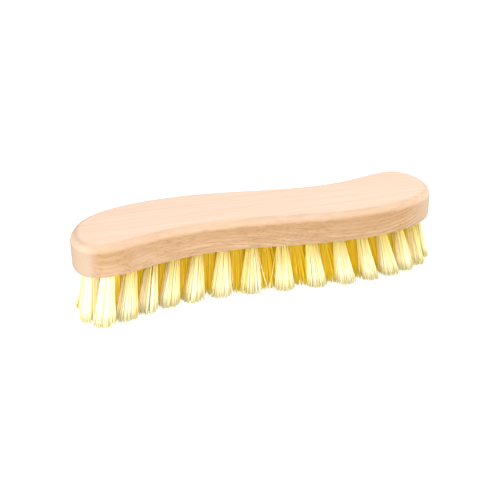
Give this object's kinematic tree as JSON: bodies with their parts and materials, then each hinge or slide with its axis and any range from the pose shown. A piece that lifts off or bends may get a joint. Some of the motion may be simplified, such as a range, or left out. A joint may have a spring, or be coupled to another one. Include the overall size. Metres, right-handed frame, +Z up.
{
  "type": "floor brush",
  "caption": "S-shaped wooden block with rounded upper edges and staple-set tufts of stiff plastic bristle, held in the hand to scrub floors.",
  "frame": {"origin": "middle of the block at the height of the bristle tips, where the brush stands on the floor", "axes": "+X along the block's long side, +Z up through the block's top face, +Y across it"},
  "size_m": [0.22, 0.0666, 0.044],
  "materials": {
    "beech": "pale steamed beech, sanded smooth, no lacquer",
    "bristle_plastic": "pale yellow translucent filament with a soft sheen"
  },
  "bodies": {
    "root": {"back_inner_tuft_01": "bristle_plastic", "back_inner_tuft_02": "bristle_plastic", "back_inner_tuft_03": "bristle_plastic", "back_inner_tuft_04": "bristle_plastic", "back_inner_tuft_05": "bristle_plastic", "back_inner_tuft_06": "bristle_plastic", "back_inner_tuft_07": "bristle_plastic", "back_inner_tuft_08": "bristle_plastic", "back_inner_tuft_09": "bristle_plastic", "back_inner_tuft_10": "bristle_plastic", "back_inner_tuft_11": "bristle_plastic", "back_inner_tuft_12": "bristle_plastic", "brush_block": "beech", "front_inner_tuft_01": "bristle_plastic", "front_inner_tuft_02": "bristle_plastic", "front_inner_tuft_03": "bristle_plastic", "front_inner_tuft_04": "bristle_plastic", "front_inner_tuft_05": "bristle_plastic", "front_inner_tuft_06": "bristle_plastic", "front_inner_tuft_07": "bristle_plastic", "front_inner_tuft_08": "bristle_plastic", "front_inner_tuft_09": "bristle_plastic", "front_inner_tuft_10": "bristle_plastic", "front_inner_tuft_11": "bristle_plastic", "front_inner_tuft_12": "bristle_plastic", "middle_tuft_row": "bristle_plastic", "outer_tuft_01": "bristle_plastic", "outer_tuft_02": "bristle_plastic", "outer_tuft_03": "bristle_plastic", "outer_tuft_04": "bristle_plastic", "outer_tuft_05": "bristle_plastic", "outer_tuft_06": "bristle_plastic", "outer_tuft_07": "bristle_plastic", "outer_tuft_08": "bristle_plastic", "outer_tuft_09": "bristle_plastic", "outer_tuft_10": "bristle_plastic", "outer_tuft_11": "bristle_plastic", "outer_tuft_12": "bristle_plastic", "outer_tuft_13": "bristle_plastic", "outer_tuft_14": "bristle_plastic", "outer_tuft_15": "bristle_plastic", "outer_tuft_16": "bristle_plastic", "outer_tuft_17": "bristle_plastic", "outer_tuft_18": "bristle_plastic", "outer_tuft_19": "bristle_plastic", "outer_tuft_20": "bristle_plastic", "outer_tuft_21": "bristle_plastic", "outer_tuft_22": "bristle_plastic", "outer_tuft_23": "bristle_plastic", "outer_tuft_24": "bristle_plastic", "outer_tuft_25": "bristle_plastic", "outer_tuft_26": "bristle_plastic", "outer_tuft_27": "bristle_plastic", "outer_tuft_28": "bristle_plastic", "outer_tuft_29": "bristle_plastic", "outer_tuft_30": "bristle_plastic", "outer_tuft_31": "bristle_plastic", "outer_tuft_32": "bristle_plastic", "outer_tuft_33": "bristle_plastic", "outer_tuft_34": "bristle_plastic"}
  },
  "joints": []
}
